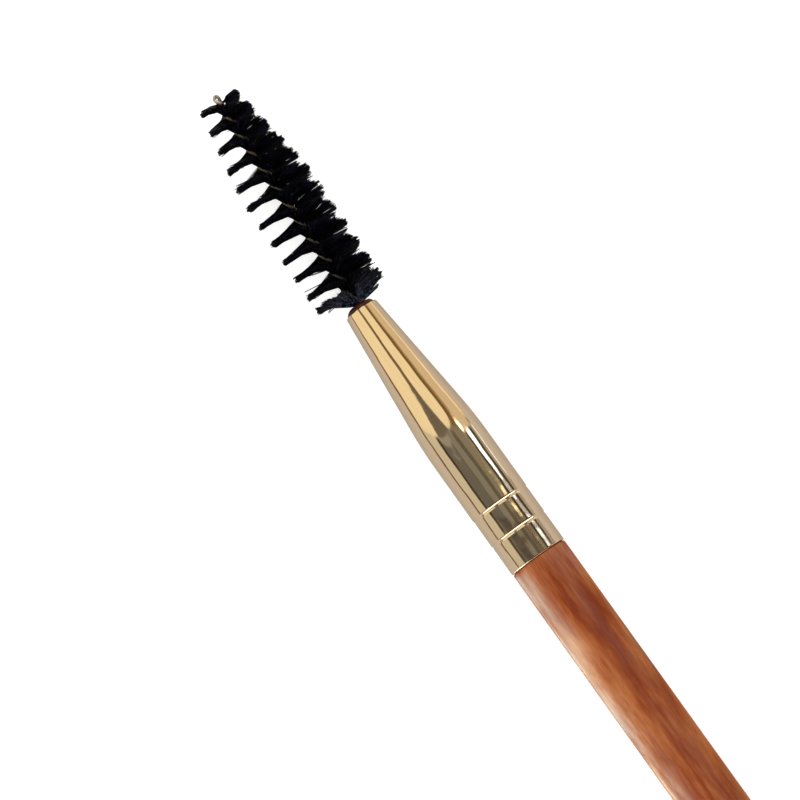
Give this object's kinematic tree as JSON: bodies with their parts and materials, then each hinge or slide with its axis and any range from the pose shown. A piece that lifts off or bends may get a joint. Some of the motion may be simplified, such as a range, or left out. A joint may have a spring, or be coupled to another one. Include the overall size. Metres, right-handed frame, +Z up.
{
  "type": "mascara brush",
  "caption": "Tapered spiral bristle head on twisted wire, glued into a crimped metal ferrule on a turned wooden handle, for lashes and brows.",
  "frame": {"origin": "middle of the footprint, on the surface that the brush lies on", "axes": "+X runs along the brush from the bristle head to the tail of the handle, +Z is up as the brush lies"},
  "size_m": [0.1726, 0.0082, 0.008],
  "materials": {
    "wood": "clear lacquer over red-brown wood",
    "gold_aluminium": "pale gold anodised, polished",
    "glue": "set dark brown adhesive, glossy",
    "wire": "bare drawn wire",
    "nylon": "black nylon filaments, satin"
  },
  "bodies": {
    "root": {"handle": "wood", "ferrule": "gold_aluminium", "glue_plug": "glue", "wire_stem": "wire", "bristles": "nylon"}
  },
  "joints": []
}
